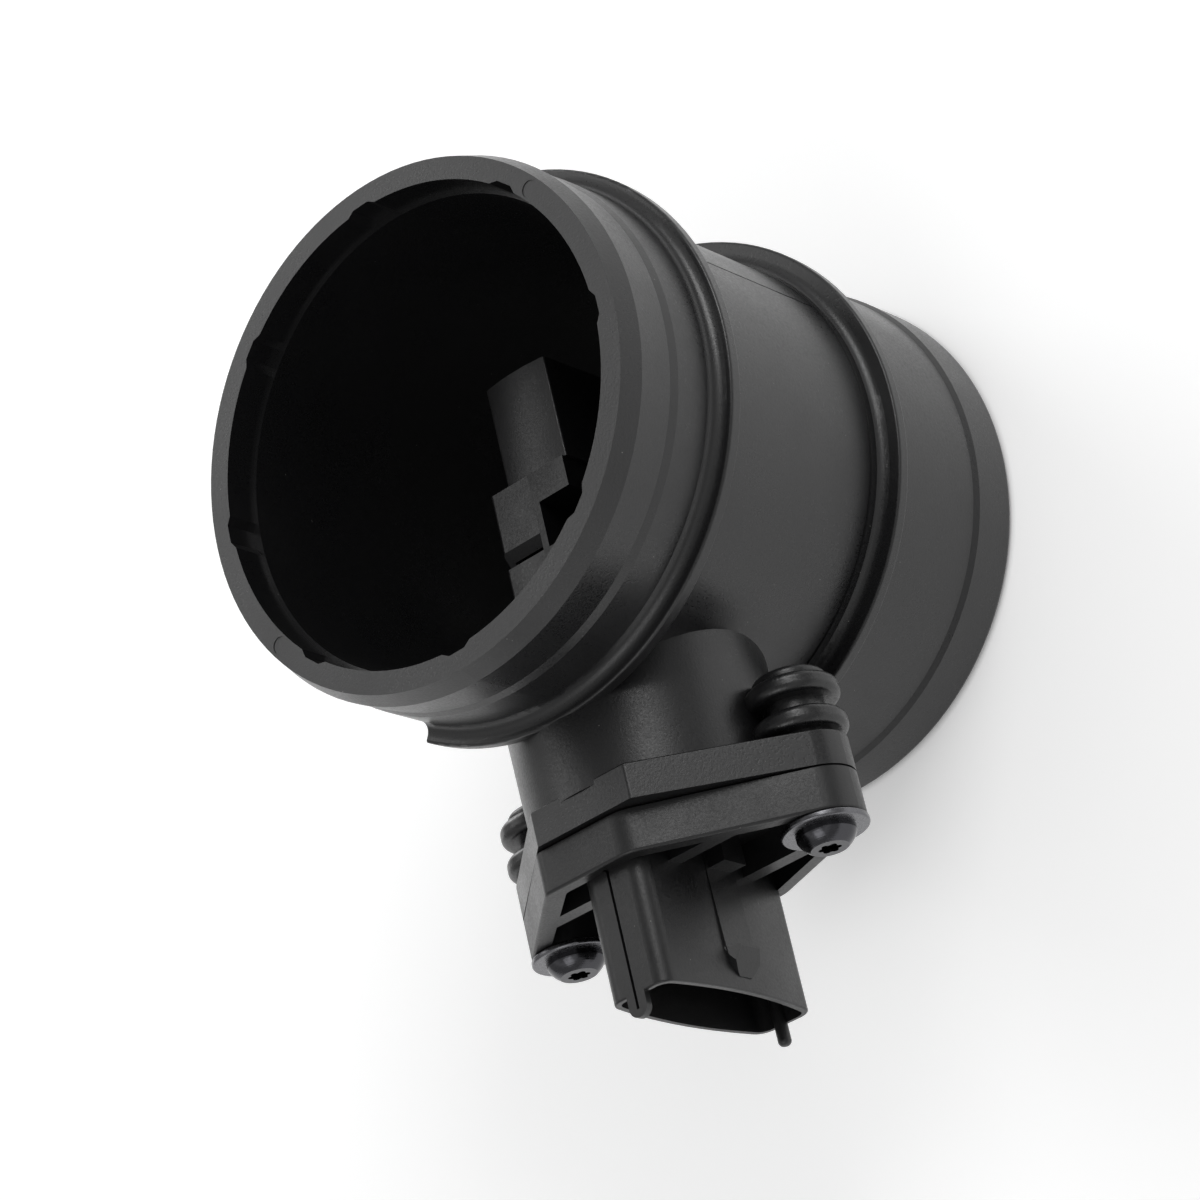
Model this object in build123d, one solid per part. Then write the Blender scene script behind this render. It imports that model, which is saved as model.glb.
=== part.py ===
from build123d import *
from math import cos, radians, sin, sqrt
import os

# A hot-film mass airflow sensor: a moulded duct with a screwed-in sensor module.
# The duct stands on its outlet end. +Z runs against the air flow, towards the inlet,
# the origin is the centre of the outlet's end face, and the neck points along +X.
# All sizes are in millimetres.

# How far a cutter runs past a face, and how far a joined form runs into its carrier
overrun = 1.0

# Duct
duct_length = 104.5
bore_radius = 40.4
inlet_seat_radius = 41.05
inlet_seat_depth = 6.2
inlet_tip_radius = 45.0
inlet_land_radius = 46.2
inlet_chamfer_length = 3.85
inlet_relief_depth = 0.4
inlet_relief_end = 11.3
inlet_bevel_length = 1.6
middle_radius = 45.0
outlet_land_radius = 46.7
outlet_bead_radius = 47.3
outlet_bead_length = 9.9
outlet_bevel_length = 1.1
end_rounding = 1.2

# The two rib flanges round the duct
rib_radius = 49.4
rib_thickness = 2.5
inlet_spigot_length = 22.5
rear_rib_bottom = 33.8
rib_root_fillet = 2.2
rib_edge_fillet = 0.5
rib_wall_overlap = 1.5
shortest_flat = 0.001
rib_gap_middle_angle = -46.0
rib_gap_angle = 24.0
root_ring_height = 2.5
root_ring_step = 0.35

# Recesses round the inlet's edge, and the mould's witness marks
notch_count = 8
notch_depth = 0.8
notch_overrun = 0.5
notch_angle = 4.5
notch_ramp_angle = 2.0
ejector_mark_radius = 1.5
ejector_mark_depth = 0.12
ejector_mark_circle = 42.9
ejector_mark_angles = (127.0, 304.0)
parting_angle = 116.5
parting_width = 0.35
parting_depth = 0.2

# Neck and its flange
neck_height = 59.5
neck_sink = 8.0
neck_root_radius = 22.7
neck_end_radius = 22.2
neck_bore_radius = 19.5
flange_inner_x = 61.3
flange_thickness = 6.2
flange_front = 21.9
flange_back = 21.9
flange_corner = (10.5, 0.8)
flange_edge_rounding = 0.35
screw_spacing = 54.4
screw_drop = 4.3
lobe_radius = 7.2

# Ribbed screw bosses behind the neck's flange
boss_core_radius = 5.0
boss_ring_radius = 8.0
boss_ring_thickness = 3.4
boss_ring_pitch = 6.0
boss_first_ring_drop = 2.9
boss_ring_count = 2
boss_cap_radius = 6.3
boss_cap_thickness = 1.8
boss_cap_rounding = 1.1
boss_ring_rounding = 1.3

# Sensor module: plate, plug and pockets
seam_gap = 0.12
module_thickness = 7.6
module_front_inset = 1.2
module_corners = ((10.5, 6.5), (13.0, 2.5))
module_edge_chamfer = 0.25
module_edge_rounding = 0.5
module_rim = 2.7
module_floor = 2.2
module_rib_thickness = 3.2
module_rib_offset = 9.6
smallest_pocket_corner = 1.5
module_boss_radius = 7.0
plug_clearance = 0.3
plug_length = 13.5
plug_lead_in = 1.0
seal_section = 2.3
seal_groove_width = 2.9
seal_groove_play = 0.05
seal_depth_in_plug = 6.0

# Connector shroud
shroud_drop = 1.5
shroud_half_length = 19.6
shroud_half_width = 7.5
shroud_front_half_width = 5.9
shroud_rear_half_width = 5.3
shroud_corner_radius = 3.0
shroud_wall = 1.0
shroud_rim_rounding = 0.3
shroud_height = 21.2
socket_depth = 16.5
key_tongue_y = -0.45
key_tongue_width = 3.7
key_tongue_thickness = 1.3
key_tongue_length = 3.85
key_tongue_root = 6.0
key_slot_end_wall = 1.4
key_slot_width = 0.5
key_slot_depth = 0.7
latch_offset = 0.3
guide_pad_width = 7.5
guide_pad_thickness = 0.45
guide_pad_root = 0.1
guide_root_width = 5.6
guide_root_depth = 3.4
nose_width = 7.8
nose_top_width = 4.7
nose_tip_width = 3.2
nose_height = 4.75
nose_thickness = 2.4
nose_shoulder = 0.7
nose_crest = 0.4
nose_tip_height = 0.15
nose_from_mouth = 2.4
peg_radius = 1.15
peg_length = 3.8
peg_root = 8.0
peg_tip_rounding = 0.9
peg_y = -0.7

# Terminals
terminal_count = 5
terminal_pitch = 5.2
terminal_width = 1.5
terminal_thickness = 0.8
terminal_tip_chamfer = 0.3
terminal_from_mouth = 5.5
terminal_jog_x = 60.0
terminal_row_y = -0.4
terminal_play = 0.1
terminal_end_x = 44.6

# Sensor finger inside the duct
finger_half_depth = 13.5
finger_tip_x = -18.4
finger_seam_x = 0.8
spine_face_y = -1.8
spine_thickness = 1.3
block_side_y = 6.2
base_side_y = 8.5
notch_start_x = 6.5
notch_end_x = 15.0
cover_side_y = -10.4
cover_wall = 1.3
cover_end_x = 50.0
cover_recess_depth = 2.2
cover_recess_width = 3.2
cover_rounding = 0.7
cover_gap = 0.1
frame_rounding = 2.0
core_wall = 1.5
core_top_wall = 6.0
core_depth = 8.0

# Measuring channel at the finger's end
channel_side_minus_y = -6.8
channel_side_plus_y = 6.7
channel_wall = 1.3
channel_edge_rounding = 0.5
channel_nose_crown = 0.7
channel_lid_thickness = 1.2
channel_lid_play = 0.1
channel_lid_chamfer = 0.2
channel_entry_width = 3.6
channel_entry_margin = 1.0
channel_exit_width = 3.6
channel_exit_start = 4.0
channel_turn_gap = 6.0
divider_height = 4.5
divider_thickness = 1.2

# Electronics
plate_thickness = 1.0
plate_half_width = 10.5
plate_start_x = 2.4
plate_end_x = 43.0
plate_corner_radius = 1.5
tongue_half_width = 3.0
tongue_end_x = -9.0
tongue_play = 0.15
board_thickness = 0.8
board_half_width = 9.6
board_start_x = 8.0
board_end_x = 42.2
carrier_size = (8.0, 4.6, 0.6)
sensor_chip_size = (5.0, 2.8, 0.45)
signal_chip_size = (8.0, 8.0, 1.5)
regulator_chip_size = (5.2, 4.0, 1.3)
small_part_size = (2.0, 1.25, 0.8)
sensor_chip_x = -4.6
signal_chip_place = (20.0, 2.5)
regulator_chip_place = (34.5, -3.5)
capacitor_x = 34.5
capacitor_heights = (3.0, 5.2, 7.4)
resistor_height = -6.6
resistor_xs = (13.0, 17.0, 21.0, 25.0)
thermistor_bead_radius = 1.25
thermistor_lead_radius = 0.3
thermistor_front_seat = 2.0
thermistor_rear_seat = 1.2
thermistor_end_play = 0.2
thermistor_play = 0.05
thermistor_y = 2.8
wire_radius = 0.15
wire_lift = 0.14
wire_crown = 1.2
wire_inset = 0.8
board_pad_spread = 0.82

# Fasteners
screw_hole_radius = 2.75
pilot_hole_radius = 2.25
pilot_depth = 15.0
screw_radius = 2.25
screw_length = 20.0
screw_point = 1.0
thread_play = 0.05
head_radius = 5.0
head_height = 2.9
head_rim_height = 0.8
head_crown_radius = 3.2
head_bulge = 0.2
drive_radius = 1.95
drive_core_radius = 1.5
drive_lobe_count = 6
drive_lobe_radius = 0.62
drive_depth = 2.0
security_pin_radius = 0.65
security_pin_height = 1.3
washer_outer_radius = 7.4
washer_inner_radius = 2.8
washer_thickness = 1.1
washer_dish = 0.35

# Places worked out from the sizes above
front_rib_top = duct_length - inlet_spigot_length
flange_face_x = flange_inner_x + flange_thickness
module_inner_x = flange_face_x + seam_gap
module_face_x = module_inner_x + module_thickness
mouth_x = module_face_x + shroud_height
socket_floor_x = mouth_x - socket_depth
screw_height = neck_height - screw_drop
shroud_height_z = neck_height - shroud_drop
latch_height = shroud_height_z + latch_offset
plug_radius = neck_bore_radius - plug_clearance
plug_end_x = module_inner_x - plug_length
seal_x = module_inner_x - seal_depth_in_plug
seal_centre_radius = neck_bore_radius - seal_groove_play - seal_section / 2
plate_face_y = spine_face_y - plate_thickness
board_face_y = plate_face_y - board_thickness


def along_x(sketch, start_x, end_x):
    """Extrude a sketch drawn in (y, z) from one x to another."""
    plane = Plane(origin=(start_x, 0, 0), x_dir=(0, 1, 0), z_dir=(1, 0, 0))
    return extrude(plane * sketch, end_x - start_x)


def block(x_range, y_range, z_range):
    """A box given by its ranges."""
    size = [high - low for low, high in (x_range, y_range, z_range)]
    middle = [(high + low) / 2 for low, high in (x_range, y_range, z_range)]
    return Pos(*middle) * Box(*size)


def rod_x(radius, start_x, end_x, y=0.0, z=0.0):
    """A cylinder along x."""
    length = end_x - start_x
    return Pos(start_x + length / 2, y, z) * Rot(0, 90, 0) * Cylinder(radius, length)


def ring_z(outer, inner, bottom, top):
    """A flat ring about the duct's axis."""
    profile = Polyline((inner, 0, bottom), (outer, 0, bottom), (outer, 0, top), (inner, 0, top), close=True)
    return revolve(make_face(profile), Axis.Z)


def revolved(points):
    """Turn a closed profile of (radius, z) points about the duct's axis."""
    profile = Polyline(*[(radius, 0, z) for radius, z in points], close=True)
    return revolve(make_face(profile), Axis.Z)


def fuse(parts):
    """Join a list of solids into one."""
    joined = parts[0]
    for part in parts[1:]:
        joined = joined + part
    return joined


def flange_outline(front, back, shrink=0.0, corners=(flange_corner, flange_corner)):
    """The lozenge with two screw lobes, in (y, z), made as the hull of its corners."""
    outline = Sketch()
    for side, (half_flat, radius) in zip((1, -1), corners):
        radius = max(radius - shrink, min(radius, smallest_pocket_corner))
        outline += Pos(side * screw_spacing / 2, screw_height) * Circle(lobe_radius - shrink)
        for z in (neck_height + front - radius, neck_height - back + radius):
            outline += Pos(side * (half_flat - shrink - radius), z) * Circle(radius)
    return make_hull(outline.edges())


def shroud_outline(offset_inwards=0.0):
    """The connector's section in (y, z): bulged long sides and rounded corners."""
    half_length = shroud_half_length - offset_inwards
    half_width = shroud_half_width - offset_inwards
    front_half = shroud_front_half_width - offset_inwards
    rear_half = shroud_rear_half_width - offset_inwards
    corner = shroud_corner_radius - offset_inwards
    right = ThreePointArc((rear_half, -half_length), (half_width, 0), (front_half, half_length))
    left = ThreePointArc((-front_half, half_length), (-half_width, 0), (-rear_half, -half_length))
    top = Line((front_half, half_length), (-front_half, half_length))
    bottom = Line((-rear_half, -half_length), (rear_half, -half_length))
    face = make_face([right, top, left, bottom])
    face = fillet(face.vertices(), corner)
    return Pos(0, shroud_height_z) * face


def duct_profile():
    """Half section of the duct's wall, without its rib flanges."""
    top = duct_length
    relief_end = top - inlet_relief_end
    relief_radius = inlet_land_radius - inlet_relief_depth
    return [
        (bore_radius, 0),
        (outlet_bead_radius, 0),
        (outlet_bead_radius, outlet_bead_length),
        (outlet_land_radius, outlet_bead_length + outlet_bevel_length),
        (outlet_land_radius, rear_rib_bottom + rib_thickness / 2),
        (middle_radius, rear_rib_bottom + rib_thickness / 2),
        (middle_radius, front_rib_top + rib_root_fillet),
        (inlet_land_radius, front_rib_top + rib_root_fillet),
        (inlet_land_radius, relief_end - inlet_bevel_length),
        (relief_radius, relief_end),
        (inlet_land_radius, top - inlet_chamfer_length),
        (inlet_tip_radius, top),
        (inlet_seat_radius, top),
        (inlet_seat_radius, top - inlet_seat_depth),
        (bore_radius, top - inlet_seat_depth),
    ]


def rounded_corner(start, end, flat_z):
    """A quarter round between two points of a rib's section, tangent to its flat side."""
    middle_x = (start[0] + end[0]) / 2 + rib_edge_fillet * (sqrt(0.5) - 0.5)
    middle_z = (start[2] + end[2]) / 2
    middle_z += (flat_z - middle_z) * (sqrt(2) - 1)
    return ThreePointArc(start, (middle_x, 0, middle_z), end)


def straight(start, end):
    """The line between two points of a section, or none where a cove runs right into a rounding."""
    length = (Vector(*end) - Vector(*start)).length
    return [Line(start, end)] if length > shortest_flat else []


def rib_flange(bottom, start_angle, arc, root_below, root_above):
    """A rib flange with coved roots, swept round the duct from an angle."""
    top = bottom + rib_thickness
    inner = bore_radius + rib_wall_overlap
    cove = rib_root_fillet
    edge = rib_edge_fillet
    outline = [
        (inner, 0, bottom - cove),
        (root_below, 0, bottom - cove),
        (root_below + cove * 0.3, 0, bottom - cove * 0.3),
        (root_below + cove, 0, bottom),
        (rib_radius - edge, 0, bottom),
        (rib_radius, 0, bottom + edge),
        (rib_radius, 0, top - edge),
        (rib_radius - edge, 0, top),
        (root_above + cove, 0, top),
        (root_above + cove * 0.3, 0, top + cove * 0.3),
        (root_above, 0, top + cove),
        (inner, 0, top + cove),
    ]
    lines = [Line(outline[0], outline[1])]
    lines += [ThreePointArc(outline[1], outline[2], outline[3])]
    lines += straight(outline[3], outline[4]) + [rounded_corner(outline[4], outline[5], outline[4][2])]
    lines += straight(outline[5], outline[6]) + [rounded_corner(outline[6], outline[7], outline[7][2])]
    lines += straight(outline[7], outline[8]) + [ThreePointArc(outline[8], outline[9], outline[10])]
    lines += [Line(outline[10], outline[11]), Line(outline[11], outline[0])]
    section = Rot(0, 0, start_angle) * make_face(lines)
    return revolve(section, Axis.Z, arc)


def inlet_notches():
    """Shallow ramped recesses at the inlet's inner edge."""
    notches = []
    deep = inlet_seat_radius + notch_depth
    low = inlet_seat_radius - notch_overrun
    half = notch_angle / 2
    edge = half + notch_ramp_angle
    depth = inlet_seat_depth
    corners = [(low, -edge), (inlet_seat_radius, -edge), (deep, -half), (deep, half),
               (inlet_seat_radius, edge), (low, edge)]
    for index in range(notch_count):
        middle = 360 / notch_count * index
        points = [(r * cos(radians(a + middle)), r * sin(radians(a + middle)), duct_length - depth)
                  for r, a in corners]
        notches.append(extrude(make_face(Polyline(*points, close=True)), depth, dir=(0, 0, 1)))
    return notches


def witness_marks():
    """Ejector marks on the inlet face and the mould's parting lines on the middle tube."""
    marks = []
    for angle in ejector_mark_angles:
        x = ejector_mark_circle * cos(radians(angle))
        y = ejector_mark_circle * sin(radians(angle))
        z = duct_length - ejector_mark_depth / 2
        marks.append(Pos(x, y, z) * Cylinder(ejector_mark_radius, ejector_mark_depth))
    bottom = rear_rib_bottom + rib_thickness + root_ring_height
    top = front_rib_top - rib_thickness - rib_root_fillet
    x_range = (middle_radius - parting_depth, middle_radius + overrun)
    for side in (1, -1):
        line = block(x_range, (-parting_width / 2, parting_width / 2), (bottom, top))
        marks.append(Rot(0, 0, side * parting_angle) * line)
    return marks


def screw_boss(side):
    """A screw boss behind the flange, with rounded rings moulded round its core."""
    y = side * screw_spacing / 2
    cap_x = flange_inner_x - boss_first_ring_drop - boss_ring_pitch * (boss_ring_count - 1)
    cap_x -= boss_ring_thickness / 2 + boss_cap_thickness
    boss = rod_x(boss_core_radius, cap_x + overrun, flange_inner_x + overrun, y, screw_height)
    half_ring = boss_ring_thickness / 2
    x = flange_inner_x - boss_first_ring_drop
    for index in range(boss_ring_count):
        ring = rod_x(boss_ring_radius, x - half_ring, x + half_ring, y, screw_height)
        boss += fillet(ring.edges().filter_by(GeomType.CIRCLE), boss_ring_rounding)
        x -= boss_ring_pitch
    cap = rod_x(boss_cap_radius, cap_x, cap_x + boss_cap_thickness + half_ring, y, screw_height)
    return boss + fillet(cap.edges().filter_by(GeomType.CIRCLE).sort_by(Axis.X)[0], boss_cap_rounding)


def duct_neck():
    """The slightly tapered neck with its flange, still solid."""
    start_x = bore_radius - neck_sink
    length = flange_inner_x + overrun - start_x
    cone = Cone(neck_root_radius, neck_end_radius, length)
    neck = Pos(start_x + length / 2, 0, neck_height) * Rot(0, 90, 0) * cone
    flange = along_x(flange_outline(flange_front, flange_back), flange_inner_x, flange_face_x)
    return neck + fillet(flange.faces().sort_by(Axis.X)[0].edges(), flange_edge_rounding)


def make_housing():
    """The duct: one moulding with its ribs, neck, flange and screw bosses."""
    body = revolved(duct_profile())
    end_circles = body.edges().filter_by(GeomType.CIRCLE).group_by(Axis.Z)[0]
    body = fillet(end_circles.sort_by(SortBy.RADIUS)[-1], end_rounding)
    body += rib_flange(rear_rib_bottom, 0, 360, outlet_land_radius, middle_radius)
    ring_top = rear_rib_bottom + rib_thickness + root_ring_height
    body += ring_z(middle_radius + root_ring_step, bore_radius + overrun, rear_rib_bottom, ring_top)
    start = rib_gap_middle_angle + rib_gap_angle / 2
    arc = 360 - rib_gap_angle
    body += rib_flange(front_rib_top - rib_thickness, start, arc, middle_radius, inlet_land_radius)
    body += duct_neck()
    for side in (1, -1):
        body += screw_boss(side)
    body -= rod_x(neck_bore_radius, 0, flange_face_x + overrun, 0, neck_height)
    body -= Pos(0, 0, duct_length / 2) * Cylinder(bore_radius, duct_length + 2 * overrun)
    for side in (1, -1):
        body -= rod_x(pilot_hole_radius, flange_face_x - pilot_depth, flange_face_x + overrun,
                      side * screw_spacing / 2, screw_height)
    for cutter in inlet_notches() + witness_marks():
        body -= cutter
    return body


def module_plate():
    """The module's flange plate: cored from outside, with a rib and a boss at each screw."""
    front = flange_front - module_front_inset
    outer = flange_outline(front, flange_back, 0.0, module_corners)
    plate = along_x(outer, module_inner_x, module_face_x)
    plate = chamfer(plate.faces().sort_by(Axis.X)[0].edges(), module_edge_chamfer)
    plate = fillet(plate.faces().sort_by(Axis.X)[-1].edges(), module_edge_rounding)
    inner = flange_outline(front - module_rim, flange_back - module_rim, module_rim, module_corners)
    floor_x = module_inner_x + module_floor
    pockets = along_x(inner, floor_x, module_face_x + overrun)
    x_range = (floor_x - overrun, module_face_x + 2 * overrun)
    for side in (1, -1):
        y = side * screw_spacing / 2
        pockets -= rod_x(module_boss_radius, *x_range, y, screw_height)
        pockets -= block(x_range, sorted((y, 2 * y)), (0, duct_length))
        for offset in (module_rib_offset, -module_rib_offset):
            z = neck_height + offset
            z_range = (z - module_rib_thickness / 2, z + module_rib_thickness / 2)
            pockets -= block(x_range, sorted((0, y)), z_range)
    plate -= pockets
    return plate


def module_shroud():
    """The connector's shroud on the plate, still solid, with its tongue, peg and latch features."""
    root_x = module_inner_x + module_floor - overrun
    body = along_x(shroud_outline(), root_x, mouth_x)
    body = fillet(body.faces().sort_by(Axis.X)[-1].edges(), shroud_rim_rounding)
    face_y = shroud_half_width
    z_range = (latch_height - guide_root_width / 2, latch_height + guide_root_width / 2)
    body += block((root_x, module_face_x), (0, face_y + guide_root_depth), z_range)
    return body + guide_pad(root_x, face_y) + lock_nose(face_y)


def guide_pad(root_x, face_y):
    """The pad that lifts the plug's latch, rising slightly from the plate to the nose."""
    end_x = mouth_x - nose_from_mouth - nose_height + overrun
    corners = [(root_x, 0), (end_x, 0), (end_x, face_y + guide_pad_thickness),
               (module_face_x, face_y + guide_pad_root), (root_x, face_y + guide_pad_root)]
    pad = extrude(make_face(Polyline(*corners, close=True)), guide_pad_width / 2, both=True)
    return Pos(0, 0, latch_height) * pad


def key_tongue():
    """The round-ended tongue that stands out of the mouth at the shroud's end."""
    half = key_tongue_width / 2
    tip_centre = mouth_x + key_tongue_length - half
    end_z = shroud_height_z + shroud_half_length
    z_range = (end_z - key_tongue_thickness, end_z)
    y_range = (key_tongue_y - half, key_tongue_y + half)
    tongue = block((mouth_x - key_tongue_root, tip_centre), y_range, z_range)
    tip = Pos(tip_centre, key_tongue_y, sum(z_range) / 2) * Cylinder(half, key_tongue_thickness)
    return tongue + tip


def coding_peg():
    """The round peg beside the mouth's other end."""
    z = shroud_height_z - shroud_half_length + peg_radius
    peg = rod_x(peg_radius, mouth_x - peg_root, mouth_x + peg_length, peg_y, z)
    return fillet(peg.faces().sort_by(Axis.X)[-1].edges(), peg_tip_rounding)


def lock_nose(face_y):
    """The wedge that the plug's latch snaps over: a catch step, and a ramp towards the mouth."""
    tip_x = mouth_x - nose_from_mouth
    catch_x = tip_x - nose_height
    half = nose_width / 2
    half_tip = nose_tip_width / 2
    side_x = catch_x + nose_height / 2
    half_side = half - nose_shoulder
    left = ThreePointArc((-half, catch_x), (-half_side, side_x), (-half_tip, tip_x))
    right = ThreePointArc((half_tip, tip_x), (half_side, side_x), (half, catch_x))
    ends = [Line((-half_tip, tip_x), (half_tip, tip_x)), Line((half, catch_x), (-half, catch_x))]
    plane = Plane(origin=(0, 0, 0), x_dir=(0, 0, 1), z_dir=(0, 1, 0))
    high = face_y + nose_thickness
    low = face_y + nose_tip_height
    nose = extrude(plane * make_face([left, right] + ends), high)
    ramp_corners = [(catch_x + nose_crest, high), (tip_x, low), (tip_x + overrun, low),
                    (tip_x + overrun, high + overrun), (catch_x + nose_crest, high + overrun)]
    nose -= extrude(make_face(Polyline(*ramp_corners, close=True)), nose_width, both=True)
    across = Plane(origin=(0, 0, 0), x_dir=(0, 0, 1), z_dir=(-1, 0, 0))
    for side in (1, -1):
        lean = [(side * nose_width, face_y), (side * half, face_y), (side * nose_top_width / 2, high),
                (side * nose_width, high)]
        nose -= extrude(across * make_face(Polyline(*lean, close=True)), 2 * mouth_x, both=True)
    return Pos(0, 0, latch_height) * nose


def socket_cut():
    """The hollow of the connector."""
    return along_x(shroud_outline(shroud_wall), socket_floor_x, mouth_x + overrun)


def key_slot():
    """The narrow keyway down the shroud's end and its tongue."""
    end_z = shroud_height_z + shroud_half_length
    half = key_slot_width / 2
    slot_end = mouth_x + key_tongue_length - key_slot_end_wall
    return block((module_face_x - overrun, slot_end), (key_tongue_y - half, key_tongue_y + half),
                 (end_z - key_slot_depth, end_z + overrun))


def terminal_places():
    """The z of each terminal in the row."""
    first = shroud_height_z + terminal_pitch * (terminal_count - 1) / 2
    return [first - terminal_pitch * index for index in range(terminal_count)]


def make_terminal(z):
    """A flat terminal: a blade in the socket, a jog, and a tail on the board's ledge."""
    half = terminal_thickness / 2
    z_range = (z - terminal_width / 2, z + terminal_width / 2)
    tail_y = spine_face_y - half
    tip_x = mouth_x - terminal_from_mouth
    blade = block((terminal_jog_x, tip_x), (terminal_row_y - half, terminal_row_y + half), z_range)
    blade = chamfer(blade.faces().sort_by(Axis.X)[-1].edges(), terminal_tip_chamfer)
    jog_end_x = terminal_jog_x + terminal_thickness
    jog = block((terminal_jog_x, jog_end_x), (tail_y - half, terminal_row_y + half), z_range)
    tail = block((terminal_end_x, jog_end_x), (tail_y - half, tail_y + half), z_range)
    return blade + jog + tail


def finger_frame():
    """The module's part of the finger: base, spine and the block under the measuring channel."""
    z_range = (neck_height - finger_half_depth, neck_height + finger_half_depth)
    spine_back_y = spine_face_y + spine_thickness
    base = block((notch_end_x, plug_end_x + overrun), (spine_face_y, base_side_y), z_range)
    spine = block((notch_start_x - overrun, notch_end_x + overrun), (spine_face_y, spine_back_y), z_range)
    head = block((finger_seam_x, notch_start_x), (spine_face_y, block_side_y), z_range)
    frame = base + head + spine
    frame = fillet(frame.edges().filter_by(Axis.X).group_by(Axis.Y)[-1], frame_rounding)
    core_x = (notch_end_x + core_wall, plug_end_x - core_wall)
    core_y = (base_side_y - core_depth, base_side_y + overrun)
    frame -= block(core_x, core_y, (z_range[0] + core_wall, neck_height - core_wall / 2))
    frame -= block(core_x, core_y, (neck_height + core_wall / 2, z_range[1] - core_top_wall))
    roof = block((cover_end_x + cover_gap, plug_end_x + overrun), (cover_side_y, spine_back_y), z_range)
    return frame + roof


def make_sensor_body(terminals, thermistor_cut):
    """The module: plate, connector, sealed plug and finger frame in one moulding."""
    body = module_plate() + module_shroud()
    body -= socket_cut()
    body += key_tongue()
    body += coding_peg()
    body -= key_slot()
    plug = rod_x(plug_radius, plug_end_x, module_inner_x + module_floor / 2, 0, neck_height)
    plug = chamfer(plug.edges().filter_by(GeomType.CIRCLE).sort_by(Axis.X)[0], plug_lead_in)
    groove_inner = seal_centre_radius - seal_section / 2 - seal_groove_play
    half = seal_groove_width / 2
    groove = rod_x(plug_radius + overrun, seal_x - half, seal_x + half, 0, neck_height)
    groove -= rod_x(groove_inner, seal_x - seal_groove_width, seal_x + seal_groove_width, 0, neck_height)
    body += plug - groove
    body += finger_frame()
    for y in (screw_spacing / 2, -screw_spacing / 2):
        body -= rod_x(screw_hole_radius, module_inner_x - overrun, module_face_x + overrun, y, screw_height)
    for cutter in terminals + [thermistor_cut]:
        body -= cutter
    return body


def make_electronics_cover():
    """The tub-shaped cover over the circuit board."""
    z_range = (neck_height - finger_half_depth, neck_height + finger_half_depth)
    cover = block((finger_seam_x, cover_end_x), (cover_side_y, spine_face_y), z_range)
    cover = fillet(cover.edges().filter_by(Axis.X).group_by(Axis.Y)[0], cover_rounding)
    cover -= block((finger_seam_x + cover_wall, cover_end_x - cover_wall),
                   (cover_side_y + cover_wall, spine_face_y + overrun),
                   (z_range[0] + cover_wall, z_range[1] - cover_wall))
    cover -= cover_recess(z_range[1])
    cover -= tongue_pass(finger_seam_x - overrun, finger_seam_x + cover_wall + overrun)
    slot_x = (terminal_end_x - terminal_play, cover_end_x + overrun)
    slot_y = (spine_face_y - terminal_thickness - terminal_play, spine_face_y + overrun)
    half = terminal_width / 2 + terminal_play
    for z in terminal_places():
        cover -= block(slot_x, slot_y, (z - half, z + half))
    return cover


def cover_recess(top):
    """The sloped recess across the cover's inlet side, in line with the notch's end."""
    start = notch_end_x - cover_recess_width
    corners = [(start, top + overrun), (start, top), (notch_end_x, top - cover_recess_depth),
               (notch_end_x, top + overrun)]
    plane = Plane(origin=(0, 0, 0), x_dir=(1, 0, 0), z_dir=(0, -1, 0))
    return extrude(plane * make_face(Polyline(*corners, close=True)), -2 * cover_side_y, both=True)


def tongue_pass(start_x, end_x):
    """The slot that the plate's tongue passes through."""
    half = tongue_half_width + tongue_play
    return block((start_x, end_x), (plate_face_y - tongue_play, spine_face_y + tongue_play),
                 (neck_height - half, neck_height + half))


def channel_ranges():
    """Outer ranges of the measuring channel."""
    return ((finger_tip_x, finger_seam_x), (channel_side_minus_y, channel_side_plus_y),
            (neck_height - finger_half_depth, neck_height + finger_half_depth))


def make_measuring_channel():
    """The bypass moulding at the finger's end, open on one side for its lid."""
    x_range, y_range, z_range = channel_ranges()
    shoulder = z_range[1] - channel_nose_crown
    crown = ThreePointArc((y_range[1], shoulder), (sum(y_range) / 2, z_range[1]), (y_range[0], shoulder))
    sides = Polyline((y_range[0], shoulder), (y_range[0], z_range[0]), (y_range[1], z_range[0]),
                     (y_range[1], shoulder))
    body = along_x(make_face([crown, sides]), *x_range)
    body = fillet(body.edges().filter_by(Axis.X).group_by(Axis.Z)[-1], channel_edge_rounding)
    wall = channel_wall
    ceiling = shoulder - wall
    body -= block((x_range[0] + wall, x_range[1] - wall), (y_range[0] - overrun, y_range[1] - wall),
                  (z_range[0] + wall, ceiling))
    divider_z = neck_height + divider_height
    turn_x = x_range[1] - channel_turn_gap
    divider_y = (y_range[0] + channel_lid_thickness, y_range[1] - wall / 2)
    body += block((x_range[0] + wall / 2, turn_x), divider_y, (divider_z, divider_z + divider_thickness))
    entry_z = divider_z + divider_thickness + channel_entry_margin
    half = channel_entry_width / 2
    body -= block((x_range[0] - overrun, x_range[0] + wall + overrun), (-half, half),
                  (entry_z, ceiling - channel_entry_margin))
    half = channel_exit_width / 2
    body -= block((x_range[0] + channel_exit_start, turn_x), (-half, half),
                  (z_range[0] - overrun, z_range[0] + wall + overrun))
    body -= tongue_pass(x_range[1] - wall - overrun, x_range[1] + overrun)
    return body


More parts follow.
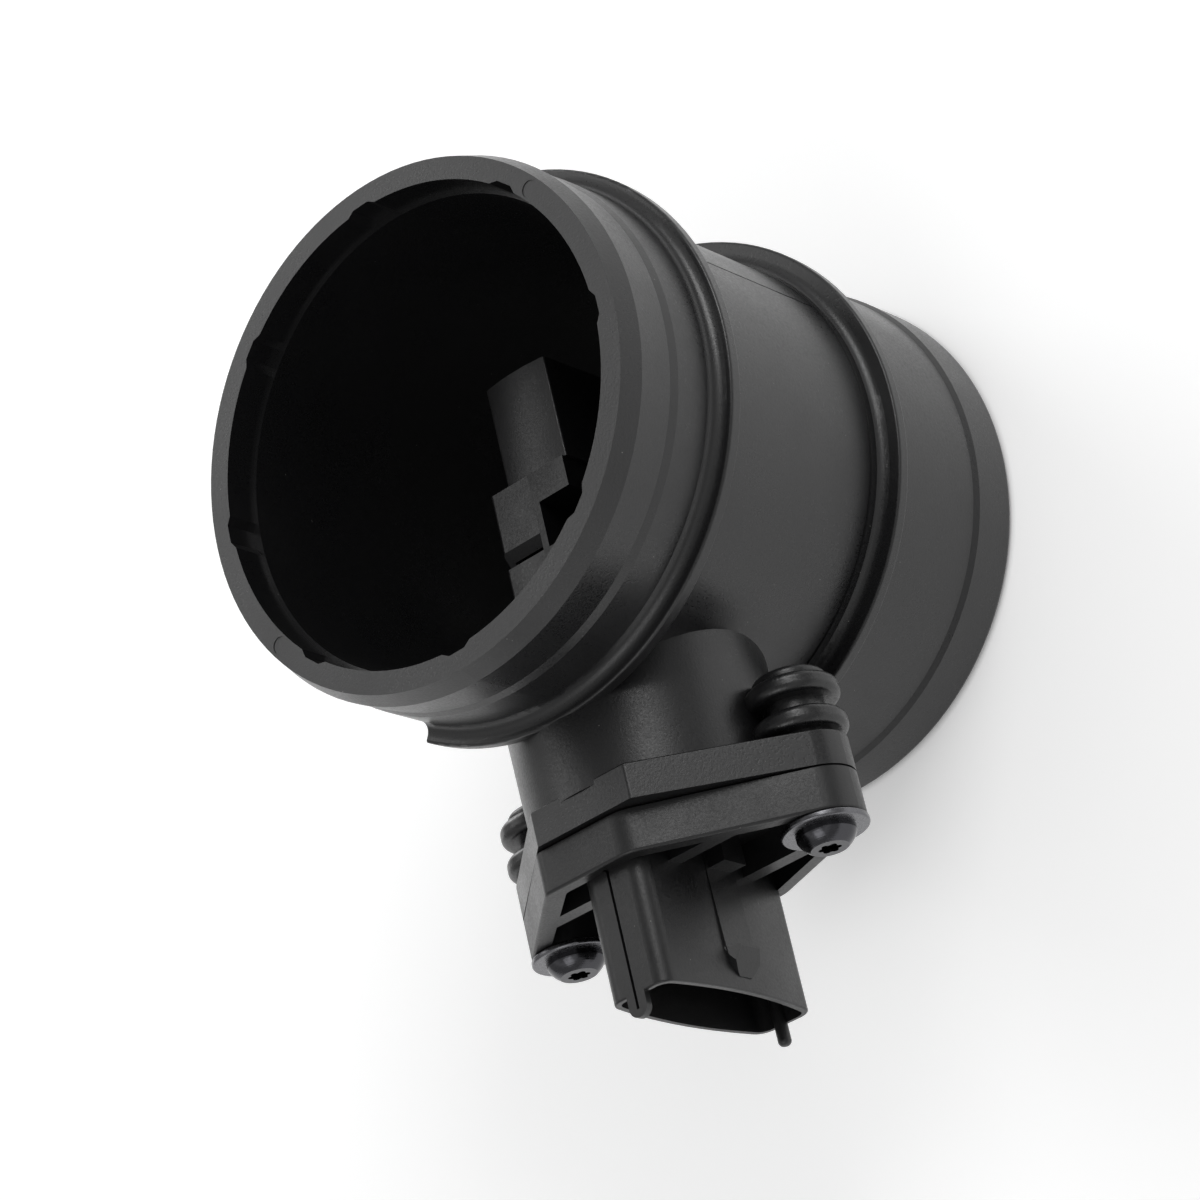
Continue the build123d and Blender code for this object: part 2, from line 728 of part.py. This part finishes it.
def make_channel_lid():
    """The flat lid that closes the measuring channel."""
    x_range, y_range, z_range = channel_ranges()
    play = channel_wall + channel_lid_play
    lid = block((x_range[0] + play, x_range[1] - play), (y_range[0], y_range[0] + channel_lid_thickness),
                (z_range[0] + play, z_range[1] - play - channel_nose_crown))
    return chamfer(lid.faces().sort_by(Axis.Y)[0].edges(), channel_lid_chamfer)


def make_board_plate():
    """The aluminium plate under the board, with the tongue that carries the sensor chip."""
    y_range = (plate_face_y, spine_face_y)
    plate = block((plate_start_x, plate_end_x), y_range,
                  (neck_height - plate_half_width, neck_height + plate_half_width))
    plate = fillet(plate.edges().filter_by(Axis.Y), plate_corner_radius)
    plate += block((tongue_end_x, plate_start_x + overrun), y_range,
                   (neck_height - tongue_half_width, neck_height + tongue_half_width))
    return plate


def make_circuit_board():
    """The ceramic board on its plate."""
    return block((board_start_x, board_end_x), (board_face_y, plate_face_y),
                 (neck_height - board_half_width, neck_height + board_half_width))


def on_board(size, x, z, base_y=board_face_y):
    """A component of length, width and height, standing on the board's face."""
    length, width, height = size
    return block((x - length / 2, x + length / 2), (base_y - height, base_y), (z - width / 2, z + width / 2))


def make_small_parts(places):
    """A group of small board components."""
    return Compound(children=[on_board(small_part_size, x, z) for x, z in places])


def make_thermistor():
    """The air temperature sensor: a bead held by its two leads across the finger's notch."""
    z = neck_height
    middle = (notch_start_x + notch_end_x) / 2
    bead = Pos(middle, thermistor_y, z) * Sphere(thermistor_bead_radius)
    leads = rod_x(thermistor_lead_radius, notch_start_x - thermistor_front_seat,
                  notch_end_x + thermistor_rear_seat, thermistor_y, z)
    return bead + leads


def thermistor_sockets():
    """The holes that the thermistor's leads sit in."""
    start_x = notch_start_x - thermistor_front_seat - thermistor_end_play
    end_x = notch_end_x + thermistor_rear_seat + thermistor_end_play
    return rod_x(thermistor_lead_radius + thermistor_play, start_x, end_x, thermistor_y, neck_height)


def make_bond_wires():
    """The fine wires from the terminals' tails to the board."""
    wires = []
    tail_face_y = spine_face_y - terminal_thickness
    start_x = terminal_end_x + wire_inset
    end_x = board_end_x - wire_inset
    for z in terminal_places():
        pad_z = neck_height + (z - shroud_height_z) * board_pad_spread
        start = (start_x, tail_face_y - wire_lift, z)
        crown = ((start_x + end_x) / 2, board_face_y - wire_crown, (z + pad_z) / 2)
        end = (end_x, board_face_y - wire_lift, pad_z)
        path = ThreePointArc(start, crown, end)
        profile = Plane(origin=path @ 0, z_dir=path % 0) * Circle(wire_radius)
        wires.append(sweep(profile, path))
    return Compound(children=wires)


def make_seal_ring():
    """The module's sealing ring."""
    ring = Torus(seal_centre_radius, seal_section / 2)
    return Pos(seal_x, 0, neck_height) * Rot(0, 90, 0) * ring


def star_recess():
    """The six-lobed drive, drawn about the screw's axis."""
    star = Circle(drive_core_radius)
    lobe = Pos(drive_radius - drive_lobe_radius, 0) * Circle(drive_lobe_radius)
    for index in range(drive_lobe_count):
        star += Rot(0, 0, 360 / drive_lobe_count * index) * lobe
    return star


def make_screw(side):
    """A pan-headed screw with a star drive and a guard pin in it."""
    y = side * screw_spacing / 2
    seat_x = module_face_x + washer_thickness
    base = Polyline((0, 0), (head_radius, 0), (head_radius, head_rim_height))
    crown = SagittaArc((head_radius, head_rim_height), (head_crown_radius, head_height), -head_bulge)
    flat = Polyline((head_crown_radius, head_height), (0, head_height), (0, 0))
    head = revolve(Plane.XZ * make_face([base, crown, flat]), Axis.Z)
    floor_z = head_height - drive_depth
    head -= extrude(Pos(0, 0, floor_z) * star_recess(), drive_depth + overrun)
    pin_length = security_pin_height + floor_z
    head += Pos(0, 0, pin_length / 2) * Cylinder(security_pin_radius, pin_length)
    shank = Pos(0, 0, -screw_length / 2) * Cylinder(screw_radius - thread_play, screw_length)
    shank = chamfer(shank.edges().sort_by(Axis.Z)[0], screw_point)
    screw = head + shank
    return Pos(seat_x, y, screw_height) * Rot(0, 90, 0) * screw


def make_washer(side):
    """A slightly dished washer under the screw's head."""
    y = side * screw_spacing / 2
    top_x = module_face_x + washer_thickness
    washer = rod_x(washer_outer_radius, module_face_x, top_x, y, screw_height)
    washer -= rod_x(washer_inner_radius, module_face_x - overrun, top_x + overrun, y, screw_height)
    rim = washer.edges().filter_by(GeomType.CIRCLE).sort_by(SortBy.RADIUS)[-2:]
    return fillet(rim, washer_dish)


def make_parts():
    """Every piece by name."""
    parts = {}
    parts["housing"] = make_housing()
    terminals = [make_terminal(z) for z in terminal_places()]
    parts["sensor_body"] = make_sensor_body(terminals, thermistor_sockets())
    for index, terminal in enumerate(terminals):
        parts[f"terminal_{index + 1}"] = terminal
    parts["seal_ring"] = make_seal_ring()
    parts["electronics_cover"] = make_electronics_cover()
    parts["measuring_channel"] = make_measuring_channel()
    parts["channel_lid"] = make_channel_lid()
    parts["board_plate"] = make_board_plate()
    parts["circuit_board"] = make_circuit_board()
    parts["chip_carrier"] = on_board(carrier_size, sensor_chip_x, neck_height, plate_face_y)
    chip_base_y = plate_face_y - carrier_size[2]
    parts["sensor_chip"] = on_board(sensor_chip_size, sensor_chip_x, neck_height, chip_base_y)
    x, height = signal_chip_place
    parts["signal_chip"] = on_board(signal_chip_size, x, neck_height + height)
    x, height = regulator_chip_place
    parts["regulator_chip"] = on_board(regulator_chip_size, x, neck_height + height)
    parts["capacitors"] = make_small_parts([(capacitor_x, neck_height + z) for z in capacitor_heights])
    parts["resistors"] = make_small_parts([(x, neck_height + resistor_height) for x in resistor_xs])
    parts["air_thermistor"] = make_thermistor()
    parts["bond_wires"] = make_bond_wires()
    for side, name in ((1, "right"), (-1, "left")):
        parts[f"screw_{name}"] = make_screw(side)
        parts[f"washer_{name}"] = make_washer(side)
    return parts


def main():
    os.makedirs("parts", exist_ok=True)
    for name, part in make_parts().items():
        export_step(part, f"parts/{name}.step")


main()
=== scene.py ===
# %% [markdown]
# # A mass airflow sensor in black moulded plastic
#
# The solids of the sensor are already made, and they stand in the scene as a fixed frame. What is left is how
# it looks: each piece gets the finish of the real one, with the grain, the dust and the turning rings that a
# solid leaves out. Nearly everything here is black plastic, so shape is seen only in the reflections. That
# makes the light and the fine texture of the mouldings the two things to get right.
#
# Blender works in metres, and the sensor's drawings are in millimetres. So small lengths are written in
# millimetres and turned with one factor, MM.

# %% Load the frame
import math

import bmesh
import bpy
from mathutils import Matrix, Vector


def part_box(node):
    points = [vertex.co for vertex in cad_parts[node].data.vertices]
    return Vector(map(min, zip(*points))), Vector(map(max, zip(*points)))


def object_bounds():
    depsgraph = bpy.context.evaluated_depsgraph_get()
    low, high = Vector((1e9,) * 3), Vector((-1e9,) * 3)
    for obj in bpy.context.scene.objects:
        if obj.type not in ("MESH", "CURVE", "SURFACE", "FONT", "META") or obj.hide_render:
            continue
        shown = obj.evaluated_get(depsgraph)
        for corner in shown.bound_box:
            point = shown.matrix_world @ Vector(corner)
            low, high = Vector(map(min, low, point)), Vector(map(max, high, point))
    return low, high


MM = 0.001


def in_mm(place):
    """A place in millimetres, rounded for printing."""
    return [round(length / MM, 2) for length in place]


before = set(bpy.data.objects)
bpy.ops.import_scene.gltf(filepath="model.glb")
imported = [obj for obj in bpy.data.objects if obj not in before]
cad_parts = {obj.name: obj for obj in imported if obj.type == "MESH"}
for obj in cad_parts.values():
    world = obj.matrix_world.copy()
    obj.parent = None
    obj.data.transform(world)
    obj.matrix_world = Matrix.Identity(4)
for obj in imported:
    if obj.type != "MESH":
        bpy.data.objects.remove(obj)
cad_low, cad_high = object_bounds()
print("CAD box in mm:", in_mm(cad_low), in_mm(cad_high))

# %% [markdown]
# ## Colours and shader nodes
#
# Colours are picked as sRGB hex values, as in a paint program. A shader wants them linear, so one function does
# that turning. Another adds a shader node with its settings and its links. It finds an input by its name, or by
# its number where inputs share one name, as those of a Math node do.

# %% Helpers for colours and nodes


def linear(hex_colour):
    """An sRGB hex colour as linear RGBA."""
    channels = [int(hex_colour[i:i + 2], 16) / 255 for i in (1, 3, 5)]
    turned = [c / 12.92 if c <= 0.04045 else ((c + 0.055) / 1.055) ** 2.4 for c in channels]
    return (*turned, 1.0)


def add_node(tree, kind, settings=None, **inputs):
    """Add a node, set its properties, and fill or link its inputs: From_Min is "From Min", _0 is number 0."""
    node = tree.nodes.new(kind)
    for key, value in (settings or {}).items():
        setattr(node, key, value)
    for key, value in inputs.items():
        socket = node.inputs[int(key[1:])] if key[0] == "_" else node.inputs[key.replace("_", " ")]
        if isinstance(value, bpy.types.NodeSocket):
            tree.links.new(value, socket)
        else:
            socket.default_value = value
    return node


def new_material(name):
    """A new material with an empty node tree, and that tree."""
    material = bpy.data.materials.new(name)
    material.use_nodes = True
    material.node_tree.nodes.clear()
    return material, material.node_tree


def finish_material(tree, shader):
    """Link a shader to a new output."""
    add_node(tree, "ShaderNodeOutputMaterial", Surface=shader.outputs["BSDF"])


# %% [markdown]
# ## Dust
#
# Dust from the packing sits on the black skin in a few pale specks. They could be scattered as small pieces, but
# a pattern costs nothing and stays on the surface. A Voronoi texture cuts space into cells and gives each cell
# a colour of its own by chance. A speck is a small ball at the middle of a cell, and only the cells with a low
# red get one. Its edge is soft, so that it doesn't flicker between the pixels.

# %% Specks of dust
DUST = "#6f6f6c"
SPECK_SPACING = 2.2 * MM
SPECK_RADIUS = 0.11 * MM
SPECK_CORE = 0.6  # share of the radius that is fully dust
SPECK_SHARE = 1 / 6  # share of the cells that hold a speck


def dust_specks(tree, place):
    """A mask that is 1 on the specks and 0 between them."""
    edge = SPECK_RADIUS / SPECK_SPACING
    cells = add_node(tree, "ShaderNodeTexVoronoi", Vector=place, Scale=1 / SPECK_SPACING)
    near = add_node(tree, "ShaderNodeMapRange", Value=cells.outputs["Distance"], From_Min=edge,
                    From_Max=SPECK_CORE * edge)
    chance = add_node(tree, "ShaderNodeSeparateColor", Color=cells.outputs["Color"])
    chosen = add_node(tree, "ShaderNodeMath", {"operation": "LESS_THAN"}, _0=chance.outputs["Red"],
                      _1=SPECK_SHARE)
    specks = add_node(tree, "ShaderNodeMath", {"operation": "MULTIPLY"}, _0=near.outputs["Result"],
                      _1=chosen.outputs["Value"])
    return specks.outputs["Value"]


# %% [markdown]
# ## Glass-filled plastic
#
# The duct and the sensor module are moulded from a black polyester with short glass fibres in it. The mould
# is spark-eroded, and leaves a matt skin with a grain of about a quarter of a millimetre. It is drawn 0.45 mm
# coarse here, because a finer one is lost between the pixels. The plastic flows in from a gate and leaves
# broad, barely visible clouds, a little glossier and a little duller.
#
# So there are two noises. The fine one drives the bump, and mottles the gloss a little, because the hollows of
# the grain are glossier than its tops. The slow one spreads the clouds. Most of a noise lies between 0.3 and
# 0.7, so that span is stretched over the range of roughness. The index of refraction is that of the polyester,
# 1.55.

# %% The moulded plastics
NOISE_SPAN = {"From_Min": 0.3, "From_Max": 0.7}
POLYESTER_IOR = 1.55
GRAIN_GLOSS = 0.07  # how far the grain moves the roughness to each side
MOULDED_BUMP = 0.7


def moulded_plastic(name, colour, roughness, grain_mm, grain_depth_mm, cloud_mm, cloud_gloss):
    """Black moulded plastic with an eroded grain, slow clouds of gloss and a little dust."""
    material, tree = new_material(name)
    place = add_node(tree, "ShaderNodeTexCoord").outputs["Object"]
    grain = add_node(tree, "ShaderNodeTexNoise", Vector=place, Scale=1 / (grain_mm * MM), Detail=3.0,
                     Roughness=0.55)
    clouds = add_node(tree, "ShaderNodeTexNoise", Vector=place, Scale=1 / (cloud_mm * MM), Detail=4.0,
                      Roughness=0.6)
    cloudy = add_node(tree, "ShaderNodeMapRange", Value=clouds.outputs["Fac"], **NOISE_SPAN,
                      To_Min=roughness - cloud_gloss, To_Max=roughness + cloud_gloss)
    mottle = add_node(tree, "ShaderNodeMapRange", Value=grain.outputs["Fac"], **NOISE_SPAN,
                      To_Min=-GRAIN_GLOSS, To_Max=GRAIN_GLOSS)
    gloss = add_node(tree, "ShaderNodeMath", {"operation": "ADD"}, _0=cloudy.outputs["Result"],
                     _1=mottle.outputs["Result"])
    skin = add_node(tree, "ShaderNodeMix", {"data_type": "RGBA"}, Factor=dust_specks(tree, place),
                    A=linear(colour), B=linear(DUST))
    bump = add_node(tree, "ShaderNodeBump", Height=grain.outputs["Fac"], Distance=grain_depth_mm * MM,
                    Strength=MOULDED_BUMP)
    shader = add_node(tree, "ShaderNodeBsdfPrincipled", Base_Color=skin.outputs["Result"], IOR=POLYESTER_IOR,
                      Roughness=gloss.outputs["Value"], Normal=bump.outputs["Normal"])
    finish_material(tree, shader)
    return material


duct_skin = moulded_plastic("glass_filled_polyester_duct", "#141415", roughness=0.34, grain_mm=0.45,
                            grain_depth_mm=0.045, cloud_mm=22.0, cloud_gloss=0.06)
module_skin = moulded_plastic("glass_filled_polyester_module", "#0e0e0f", roughness=0.40, grain_mm=0.45,
                              grain_depth_mm=0.032, cloud_mm=15.0, cloud_gloss=0.06)
cover_skin = moulded_plastic("polyester_cover", "#19191a", roughness=0.36, grain_mm=0.45,
                             grain_depth_mm=0.05, cloud_mm=9.0, cloud_gloss=0.05)
print("Moulded plastics:", [skin.name for skin in (duct_skin, module_skin, cover_skin)])

# %% [markdown]
# ## Plated steel, tin and aluminium
#
# The screws and their washers are steel with a dark zinc-nickel plating. Pressing and turning leaves fine rings
# round the screw's axis. The real ones are about 0.1 mm apart, and they are drawn 0.25 to 0.35 mm apart so that
# they show. They could be cut into the mesh, but a bump shows them as well. The rings are waves of the distance
# from the axis, which runs along X through the middle of each washer, so a Mapping node brings that middle to
# the origin first. The connector's terminals are tin-plated, the plate under the circuit board is rolled
# aluminium, and the bond wires are drawn aluminium. They have fine noise in place of rings.

# %% The metals
WAVE_AT_SCALE_ONE = math.tau / 20  # the Wave texture multiplies its place by 20 before it takes the sine
SPECKLE_SIZE = 0.6 * MM
WEAR_GLOSSIER, WEAR_DULLER = 0.07, 0.09
SOFT_BUMP = 0.5


def plated_metal(name, colour, roughness, centre=None, ring_mm=0.25, bump_depth_mm=0.01):
    """A metal with faint turning rings round an axis along X, or with fine noise where no centre is given."""
    material, tree = new_material(name)
    place = add_node(tree, "ShaderNodeTexCoord").outputs["Object"]
    speckle = add_node(tree, "ShaderNodeTexNoise", Vector=place, Scale=1 / SPECKLE_SIZE, Detail=4.0)
    height = speckle.outputs["Fac"]
    if centre:
        centred = add_node(tree, "ShaderNodeMapping", {"vector_type": "POINT"}, Vector=place,
                           Location=[-length for length in centre])
        rings = add_node(tree, "ShaderNodeTexWave", {"wave_type": "RINGS", "rings_direction": "X"},
                         Vector=centred.outputs["Vector"], Scale=WAVE_AT_SCALE_ONE / (ring_mm * MM),
                         Distortion=1.5, Detail=2.0, Detail_Scale=2.0)
        height = rings.outputs["Fac"]
    wear = add_node(tree, "ShaderNodeMapRange", Value=speckle.outputs["Fac"], **NOISE_SPAN,
                    To_Min=roughness - WEAR_GLOSSIER, To_Max=roughness + WEAR_DULLER)
    bump = add_node(tree, "ShaderNodeBump", Height=height, Distance=bump_depth_mm * MM, Strength=SOFT_BUMP)
    shader = add_node(tree, "ShaderNodeBsdfPrincipled", Base_Color=linear(colour), Metallic=1.0,
                      Roughness=wear.outputs["Result"], Normal=bump.outputs["Normal"])
    finish_material(tree, shader)
    return material


screw_steel, washer_steel = {}, {}
for side in ("right", "left"):
    washer_low, washer_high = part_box(f"washer_{side}")
    middle = [(low + high) / 2 for low, high in zip(washer_low, washer_high)]
    screw_steel[side] = plated_metal(f"dark_zinc_nickel_screw_{side}", "#4a4a4d", roughness=0.2, centre=middle)
    washer_steel[side] = plated_metal(f"dark_zinc_nickel_washer_{side}", "#6c6c6f", roughness=0.25,
                                      centre=middle, ring_mm=0.35, bump_depth_mm=0.02)
    print(f"Middle of the {side} washer in mm:", in_mm(middle))
tinned_terminal = plated_metal("tin_plated_bronze", "#b9b4a8", roughness=0.28)
rolled_plate = plated_metal("rolled_aluminium", "#c4c5c6", roughness=0.35)
bright_wire = plated_metal("aluminium_wire", "#cfcfcf", roughness=0.2)

# %% [markdown]
# ## Inner pieces
#
# The board is fired alumina, off-white and matt. The chips are black moulded epoxy, the capacitors are brown
# fired ceramic, the air thermistor is a bead under glass, and the sensor chip is polished silicon. The sealing
# ring is smooth black rubber. None of them shows from outside, but anybody who takes the model apart finds
# them. They are small, so one recipe does for all: a colour that wanders towards a second one, and a fine grain.

# %% The inner finishes
TINT_SHARE = 0.12  # how much of the second colour is mixed in at most


def plain_solid(name, colour, roughness, ior, grain_mm, grain_depth_mm, tint="#000000"):
    """A solid material whose colour wanders a little from place to place."""
    material, tree = new_material(name)
    place = add_node(tree, "ShaderNodeTexCoord").outputs["Object"]
    grain = add_node(tree, "ShaderNodeTexNoise", Vector=place, Scale=1 / (grain_mm * MM), Detail=5.0)
    share = add_node(tree, "ShaderNodeMapRange", Value=grain.outputs["Fac"], **NOISE_SPAN, To_Min=0.0,
                     To_Max=TINT_SHARE)
    mixed = add_node(tree, "ShaderNodeMix", {"data_type": "RGBA"}, Factor=share.outputs["Result"],
                     A=linear(colour), B=linear(tint))
    bump = add_node(tree, "ShaderNodeBump", Height=grain.outputs["Fac"], Distance=grain_depth_mm * MM,
                    Strength=SOFT_BUMP)
    shader = add_node(tree, "ShaderNodeBsdfPrincipled", Base_Color=mixed.outputs["Result"], IOR=ior,
                      Roughness=roughness, Normal=bump.outputs["Normal"])
    finish_material(tree, shader)
    return material


alumina = plain_solid("fired_alumina", "#dad9d0", roughness=0.6, ior=1.76, grain_mm=0.3,
                      grain_depth_mm=0.01, tint="#b9b6a8")
epoxy = plain_solid("moulded_epoxy", "#1d1d1f", roughness=0.45, ior=1.55, grain_mm=0.2, grain_depth_mm=0.01)
titanate = plain_solid("fired_titanate", "#8a6b4a", roughness=0.5, ior=1.8, grain_mm=0.2,
                       grain_depth_mm=0.01, tint="#5d4630")
glassed_bead = plain_solid("glass_coated_bead", "#3b2a1d", roughness=0.12, ior=1.52, grain_mm=0.5,
                           grain_depth_mm=0.003)
silicon = plain_solid("polished_silicon", "#4b5058", roughness=0.08, ior=1.9, grain_mm=1.0,
                      grain_depth_mm=0.001, tint="#5f4a6e")
nitrile = plain_solid("nitrile_rubber", "#161616", roughness=0.5, ior=1.52, grain_mm=0.4,
                      grain_depth_mm=0.01, tint="#2a2a28")
inner_finishes = (alumina, epoxy, titanate, glassed_bead, silicon, nitrile)
print("Inner finishes:", [material.name for material in inner_finishes])

# %% [markdown]
# ## Which piece gets which finish
#
# Each piece of the sensor is one CAD node, and its mesh brings a slot with a plain material. Putting the new
# material into the slot leaves the mesh as it is, which matters here, because the solids aren't to change.

# %% Give each node its finish
finishes = {
    "housing": duct_skin, "sensor_body": module_skin, "electronics_cover": cover_skin,
    "measuring_channel": cover_skin, "channel_lid": cover_skin, "seal_ring": nitrile,
    "board_plate": rolled_plate, "circuit_board": alumina, "chip_carrier": alumina,
    "sensor_chip": silicon, "signal_chip": epoxy, "regulator_chip": epoxy, "resistors": epoxy,
    "capacitors": titanate, "air_thermistor": glassed_bead, "bond_wires": bright_wire,
    "screw_right": screw_steel["right"], "screw_left": screw_steel["left"],
    "washer_right": washer_steel["right"], "washer_left": washer_steel["left"],
}
finishes.update({f"terminal_{number}": tinned_terminal for number in range(1, 6)})

for node, material in finishes.items():
    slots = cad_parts[node].data.materials
    if not slots:
        slots.append(material)
    for index in range(len(slots)):
        slots[index] = material
print("Nodes dressed:", len(finishes), "left bare:", sorted(set(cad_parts) - set(finishes)))

# %% [markdown]
# ## The table
#
# Product photographs like this one are taken on a lit table, a white acrylic sheet with lamps under it, which
# drowns the shadows. So the floor is a plain white sheet that also gives some light of its own. A lamp under
# the duct would shine up through the bore, which is black in the photograph, so the table is masked off with a
# round card where the duct stands, a little smaller than the duct. The mask is made from the distance to the
# duct's axis, because a picture of a disc would need a file.

# %% The lit table
TABLE_HALF_SIZE = 6.0
TABLE_GAP = 0.2 * MM  # keeps the sheet clear of the duct's end face
TABLE_LIGHT = 0.30
MASK_SHARE = 0.44  # the mask's radius as a share of the duct's height
MASK_EDGE = 2 * MM

floor_form = bmesh.new()
bmesh.ops.create_grid(floor_form, x_segments=1, y_segments=1, size=TABLE_HALF_SIZE)
bmesh.ops.translate(floor_form, verts=floor_form.verts, vec=(0, 0, cad_low[2] - TABLE_GAP))
floor_mesh = bpy.data.meshes.new("studio_floor")
floor_form.to_mesh(floor_mesh)
floor_form.free()
floor = bpy.data.objects.new("studio_floor", floor_mesh)
bpy.context.scene.collection.objects.link(floor)

mask_radius = MASK_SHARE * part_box("housing")[1][2]
acrylic, acrylic_tree = new_material("white_acrylic_sheet")
table_place = add_node(acrylic_tree, "ShaderNodeTexCoord").outputs["Object"]
from_axis = add_node(acrylic_tree, "ShaderNodeVectorMath", {"operation": "LENGTH"}, Vector=table_place)
glow = add_node(acrylic_tree, "ShaderNodeMapRange", Value=from_axis.outputs["Value"], From_Min=mask_radius,
                From_Max=mask_radius + MASK_EDGE, To_Min=0.0, To_Max=TABLE_LIGHT)
sheet = add_node(acrylic_tree, "ShaderNodeBsdfPrincipled", Base_Color=linear("#f7f7f7"), Roughness=0.9,
                 Emission_Color=linear("#ffffff"), Emission_Strength=glow.outputs["Result"])
finish_material(acrylic_tree, sheet)
floor_mesh.materials.append(acrylic)
print("Mask under the duct, radius in mm:", round(mask_radius / MM, 1))

# %% [markdown]
# ## The room
#
# Black satin plastic shows what it faces, so its shape is drawn by the reflections of the room. In the
# photograph the faces turned to the camera are the darkest, and every edge grows pale towards the outline. That
# is a white room with a darker ceiling, brightest somewhat over a third of the way up. A picture of a room
# could light the scene, but a curve does it too: the world's brightness runs over the height of the direction,
# from 0 at the horizon to 1 straight overhead.

# %% The white room
ROOM_CURVE = ((0.0, 0.38), (0.42, 0.42), (0.60, 0.75), (0.80, 0.40), (1.0, 0.30))  # height, brightness

world = bpy.data.worlds.new("white_room")
bpy.context.scene.world = world
world.use_nodes = True
room_tree = world.node_tree
direction = add_node(room_tree, "ShaderNodeTexCoord").outputs["Generated"]
height = add_node(room_tree, "ShaderNodeSeparateXYZ", Vector=direction).outputs["Z"]
room_ramp = add_node(room_tree, "ShaderNodeValToRGB", Fac=height)
stops = room_ramp.color_ramp.elements
for stop_height, _ in ROOM_CURVE[1:-1]:
    stops.new(stop_height)
for stop, (_, brightness) in zip(stops, ROOM_CURVE):
    stop.color = (brightness, brightness, brightness, 1.0)
room_tree.links.new(room_ramp.outputs["Color"], room_tree.nodes["Background"].inputs["Color"])
print("Room, height and brightness:", [(round(s.position, 2), round(s.color[0], 2)) for s in stops])

# %% [markdown]
# ## The softboxes
#
# Four softboxes stand round the table a metre away. Lamps as small as bulbs would give sharp glints that the
# photograph hasn't got, so each is half a metre square. The strongest two stand beside the duct and behind it,
# as the camera sees it. The one behind is nearly level with the duct, and helps the pale streaks along the
# outline.

# %% The softboxes
LIGHT_AIM = Vector((0.03, 0.0, 0.055))
LIGHT_DISTANCE = 1.0
SOFTBOX_SIZE = 0.5


def softbox(name, around_degrees, up_degrees, watts):
    """A square softbox on a sphere round the duct, placed by its angle about Z and its height angle."""
    around, up = math.radians(around_degrees), math.radians(up_degrees)
    outwards = Vector((math.cos(around) * math.cos(up), math.sin(around) * math.cos(up), math.sin(up)))
    light = bpy.data.lights.new(name, "AREA")
    light.shape = "SQUARE"
    light.size = SOFTBOX_SIZE
    light.energy = watts
    lamp = bpy.data.objects.new(name, light)
    lamp.location = LIGHT_AIM + LIGHT_DISTANCE * outwards
    lamp.rotation_euler = outwards.to_track_quat("Z", "Y").to_euler()
    bpy.context.scene.collection.objects.link(lamp)
    print(name, "at, in mm:", in_mm(lamp.location))


softbox("softbox_connector_side", around_degrees=0, up_degrees=42, watts=1.2)
softbox("softbox_right_behind", around_degrees=138, up_degrees=42, watts=3.0)
softbox("softbox_low_behind", around_degrees=220, up_degrees=12, watts=3.3)
softbox("softbox_left_behind", around_degrees=230, up_degrees=42, watts=0.8)

# %% [markdown]
# ## The camera
#
# The photograph looks down into the inlet from the connector's side with a long lens, and the camera is rolled,
# so that the duct's axis leans to the upper left. Aiming it at a point would leave the roll open, so it is
# given by its place, the direction to its right and the direction behind it. They were worked out from the
# circles of the inlet and the rib flanges and from the two screws. The third direction, up, is square to both.

# %% Camera
CAMERA_PLACE = Vector((0.3047, 0.3519, 0.5598))
CAMERA_RIGHT = Vector((0.20715, 0.73907, -0.64099)).normalized()
CAMERA_BACK = Vector((0.41986, 0.52464, 0.74059)).normalized()

camera_data = bpy.data.cameras.new("photo_camera")
camera_data.lens = 120.0
camera_data.sensor_width = 36.0
camera_data.clip_end = 50.0
camera = bpy.data.objects.new("photo_camera", camera_data)
camera_up = CAMERA_BACK.cross(CAMERA_RIGHT).normalized()
turn = Matrix((CAMERA_RIGHT, camera_up, CAMERA_BACK)).transposed()
camera.matrix_world = Matrix.Translation(CAMERA_PLACE) @ turn.to_4x4()
bpy.context.scene.collection.objects.link(camera)
bpy.context.scene.camera = camera
bpy.context.scene.view_settings.view_transform = "Standard"
bpy.context.scene.view_settings.look = "None"
print("Camera at, in mm:", in_mm(CAMERA_PLACE), "lens in mm:", camera_data.lens)
